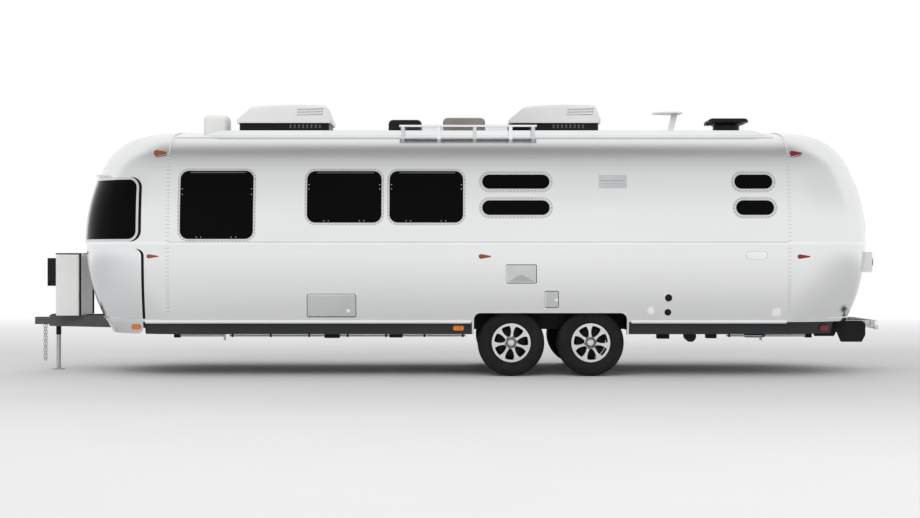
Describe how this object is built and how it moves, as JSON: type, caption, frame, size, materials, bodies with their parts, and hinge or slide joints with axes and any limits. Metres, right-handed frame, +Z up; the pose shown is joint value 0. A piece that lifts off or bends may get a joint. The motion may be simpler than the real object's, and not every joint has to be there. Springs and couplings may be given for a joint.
{
  "type": "travel caravan",
  "caption": "Rounded riveted-aluminium travel caravan on a tandem axle, with A-frame tongue, jack, ball coupler, dark windows, entry door and roof coolers.",
  "frame": {"origin": "on the ground at the middle of the overall length, on the centreline", "axes": "+X to the rear, +Y to the kerb side with the entry door, +Z up"},
  "size_m": [9.42, 2.6329, 2.987],
  "materials": {
    "skin": "satin rolled sheet",
    "bright_trim": "polished",
    "guard_steel": "bright brushed",
    "dark_sheet": "dark grey paint",
    "chassis_paint": "black paint",
    "floor_ply": "coated plywood",
    "tinted_glass": "dark tint",
    "tyre": "matt",
    "alloy": "machined",
    "zinc_steel": "zinc plated",
    "white_plastic": "white moulded",
    "black_plastic": "black moulded",
    "solar_dark": "dark panel",
    "lamp_lens": "moulded lens"
  },
  "bodies": {
    "trailer": {"shell_front": "skin", "shell_rear": "skin", "wall_left": "skin", "wall_right": "skin", "roof": "skin", "floor": "floor_ply", "mouldings": "bright_trim", "front_guards": "guard_steel", "skirts": "dark_sheet", "wheel_wells": "dark_sheet", "window_glass": "tinted_glass", "window_frames": "bright_trim", "main_rails": "chassis_paint", "cross_members": "chassis_paint", "tongue_rails": "chassis_paint", "coupler": "chassis_paint", "jack_housing": "black_plastic", "gas_cover": "white_plastic", "axles": "chassis_paint", "under_brackets": "chassis_paint", "rear_bumper": "guard_steel", "cooler_bases": "black_plastic", "cooler_shrouds": "white_plastic", "roof_vents": "white_plastic", "solar_panel": "solar_dark", "roof_rails": "bright_trim", "awning": "white_plastic", "lamps": "lamp_lens", "inlets": "white_plastic", "safety_chains": "zinc_steel", "edge_seals": "black_plastic", "range_vent": "bright_trim"},
    "entry_door": {"entry_door": "skin", "door_window": "tinted_glass"},
    "storage_door_left": {"storage_door_left": "skin"},
    "storage_door_right": {"storage_door_right": "skin"},
    "heater_door": {"heater_door": "skin"},
    "service_door": {"service_door": "skin"},
    "jack_leg": {"jack_leg": "zinc_steel"},
    "gas_lid": {"gas_lid": "black_plastic"},
    "entry_step": {"entry_step": "black_plastic"},
    "fan_lid": {"fan_lid": "black_plastic"},
    "wheel_front_left": {"tyre_front_left": "tyre", "wheel_front_left": "alloy"},
    "leg_front_left": {"leg_front_left": "zinc_steel"},
    "wheel_front_right": {"tyre_front_right": "tyre", "wheel_front_right": "alloy"},
    "leg_front_right": {"leg_front_right": "zinc_steel"},
    "wheel_rear_left": {"tyre_rear_left": "tyre", "wheel_rear_left": "alloy"},
    "leg_rear_left": {"leg_rear_left": "zinc_steel"},
    "wheel_rear_right": {"tyre_rear_right": "tyre", "wheel_rear_right": "alloy"},
    "leg_rear_right": {"leg_rear_right": "zinc_steel"}
  },
  "joints": [
    {"name": "entry_door_hinge", "type": "hinge", "parent": "trailer", "child": "entry_door", "pos_m": [-0.655, 1.312, 1], "axis": [0, 0, 1], "range_deg": [0, 150]},
    {"name": "storage_door_left_hinge", "type": "hinge", "parent": "trailer", "child": "storage_door_left", "pos_m": [-1.2285, -1.27, 0.881], "axis": [-1, 0, 0], "range_deg": [0, 100]},
    {"name": "storage_door_right_hinge", "type": "hinge", "parent": "trailer", "child": "storage_door_right", "pos_m": [-1.2285, 1.27, 0.881], "axis": [1, 0, 0], "range_deg": [0, 100]},
    {"name": "heater_door_hinge", "type": "hinge", "parent": "trailer", "child": "heater_door", "pos_m": [0.632, -1.296, 1.096], "axis": [0, 0, -1], "range_deg": [0, 120]},
    {"name": "service_door_hinge", "type": "hinge", "parent": "trailer", "child": "service_door", "pos_m": [1.042, -1.278, 0.826], "axis": [0, 0, -1], "range_deg": [0, 120]},
    {"name": "jack_slide", "type": "slide", "parent": "trailer", "child": "jack_leg", "axis": [0, 0, 1], "range_m": [0, 0.3]},
    {"name": "gas_lid_hinge", "type": "hinge", "parent": "trailer", "child": "gas_lid", "pos_m": [-4.106, 0, 1.314], "axis": [0, 1, 0], "range_deg": [0, 95]},
    {"name": "entry_step_slide", "type": "slide", "parent": "trailer", "child": "entry_step", "axis": [0, 1, 0], "range_m": [0, 0.25]},
    {"name": "fan_lid_hinge", "type": "hinge", "parent": "trailer", "child": "fan_lid", "pos_m": [2.94, 0, 2.807], "axis": [0, -1, 0], "range_deg": [0, 70]},
    {"name": "wheel_front_left_spin", "type": "hinge", "parent": "trailer", "child": "wheel_front_left", "pos_m": [0.688, -1.0575, 0.359], "axis": [0, 1, 0], "continuous": true},
    {"name": "leg_front_left_hinge", "type": "hinge", "parent": "trailer", "child": "leg_front_left", "pos_m": [-2.96, -0.72, 0.425], "axis": [0, 1, 0], "range_deg": [0, 44]},
    {"name": "wheel_front_right_spin", "type": "hinge", "parent": "trailer", "child": "wheel_front_right", "pos_m": [0.688, 1.0575, 0.359], "axis": [0, 1, 0], "continuous": true},
    {"name": "leg_front_right_hinge", "type": "hinge", "parent": "trailer", "child": "leg_front_right", "pos_m": [-2.96, 0.72, 0.425], "axis": [0, 1, 0], "range_deg": [0, 44]},
    {"name": "wheel_rear_left_spin", "type": "hinge", "parent": "trailer", "child": "wheel_rear_left", "pos_m": [1.54, -1.0575, 0.359], "axis": [0, 1, 0], "continuous": true},
    {"name": "leg_rear_left_hinge", "type": "hinge", "parent": "trailer", "child": "leg_rear_left", "pos_m": [3.96, -0.72, 0.425], "axis": [0, -1, 0], "range_deg": [0, 44]},
    {"name": "wheel_rear_right_spin", "type": "hinge", "parent": "trailer", "child": "wheel_rear_right", "pos_m": [1.54, 1.0575, 0.359], "axis": [0, 1, 0], "continuous": true},
    {"name": "leg_rear_right_hinge", "type": "hinge", "parent": "trailer", "child": "leg_rear_right", "pos_m": [3.96, 0.72, 0.425], "axis": [0, -1, 0], "range_deg": [0, 44]}
  ]
}
